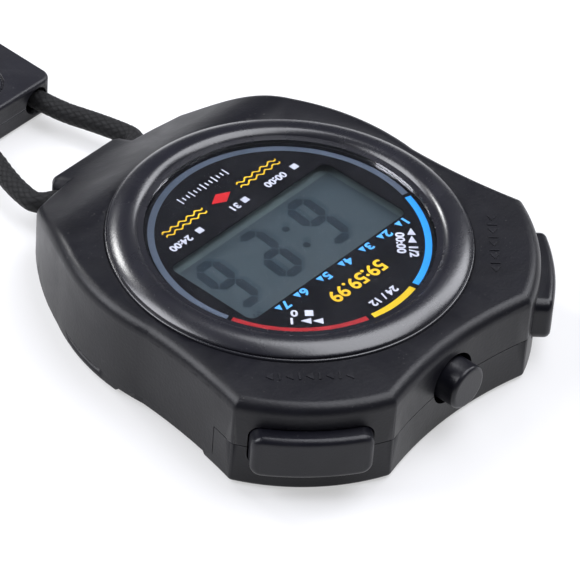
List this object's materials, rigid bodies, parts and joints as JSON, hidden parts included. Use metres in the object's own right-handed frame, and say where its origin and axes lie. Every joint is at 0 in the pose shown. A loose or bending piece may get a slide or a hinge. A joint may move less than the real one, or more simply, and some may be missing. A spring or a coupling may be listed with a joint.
{
  "type": "digital stopwatch",
  "caption": "Black hand-held digital stopwatch with a round dial window, curved push keys on its top corners and a braided lanyard.",
  "frame": {"origin": "on the dial's axis, in the flat face of the back case", "axes": "+Z out of the dial, +Y towards the mode button, +X towards the start key; the lanyard leaves along -Y"},
  "size_m": [0.0634, 0.171, 0.0166],
  "materials": {
    "case_plastic": "fine spark-eroded grain, black ABS",
    "bezel_plastic": "satin black ABS",
    "key_plastic": "satin black ABS",
    "lens_plastic": "clear moulded acrylic",
    "dial_print": "gloss black card with printed arcs and bars",
    "lcd_glass": "grey-green reflective liquid crystal",
    "white_plastic": "natural white moulding",
    "black_rubber": "matte moulded rubber",
    "board_green": "green solder mask",
    "epoxy_black": "black epoxy",
    "steel": "zinc-plated steel",
    "spring_steel": "drawn spring wire",
    "contact_metal": "phosphor bronze strip",
    "buzzer_brass": "brass disc with a white ceramic disc",
    "cell_steel": "polished nickel-plated can",
    "chip_ceramic": "fired ceramic",
    "slider_plastic": "satin black moulded plastic",
    "cord_fabric": "round braided black polyester cord"
  },
  "bodies": {
    "case": {"front_case": "case_plastic", "back_case": "case_plastic", "bezel_ring": "bezel_plastic", "lens": "lens_plastic", "dial_card": "dial_print", "lcd_panel": "lcd_glass", "lcd_holder": "white_plastic", "connector_strips": "black_rubber", "circuit_board": "board_green", "chip_blob": "epoxy_black", "quartz_crystal": "steel", "chip_parts": "chip_ceramic", "board_screws": "steel", "case_screws": "steel", "battery_holder": "white_plastic", "button_cell": "cell_steel", "battery_plus_contact": "contact_metal", "battery_minus_contact": "contact_metal", "buzzer_disc": "buzzer_brass", "buzzer_springs": "spring_steel", "start_spring": "spring_steel", "reset_spring": "spring_steel", "mode_spring": "spring_steel", "start_contact": "contact_metal", "reset_contact": "contact_metal", "mode_contact": "contact_metal", "lanyard_cord": "cord_fabric", "lanyard_coil": "cord_fabric"},
    "start_key": {"start_button": "key_plastic"},
    "reset_key": {"reset_button": "key_plastic"},
    "mode_key": {"mode_button": "key_plastic"},
    "slider": {"slider_base": "slider_plastic", "slider_cover": "slider_plastic"},
    "door": {"battery_door": "key_plastic", "battery_door_seal": "black_rubber"}
  },
  "joints": [
    {"name": "start_press", "type": "slide", "parent": "case", "child": "start_key", "axis": [-0.682, -0.7314, 0], "range_m": [0, 0.001], "stiffness_N_per_m": 600, "springref_m": -0.0012, "deforming": ["start_spring"]},
    {"name": "reset_press", "type": "slide", "parent": "case", "child": "reset_key", "axis": [0.682, -0.7314, 0], "range_m": [0, 0.001], "stiffness_N_per_m": 600, "springref_m": -0.0012, "deforming": ["reset_spring"]},
    {"name": "mode_press", "type": "slide", "parent": "case", "child": "mode_key", "axis": [0, -1, 0], "range_m": [0, 0.001], "stiffness_N_per_m": 600, "springref_m": -0.0012, "deforming": ["mode_spring"]},
    {"name": "slider_slide", "type": "slide", "parent": "case", "child": "slider", "axis": [0, -1, 0], "range_m": [0, 0.006]},
    {"name": "door_turn", "type": "hinge", "parent": "case", "child": "door", "pos_m": [-0.008, 0.008, 0.001], "axis": [0, 0, 1], "range_deg": [0, 60]}
  ]
}
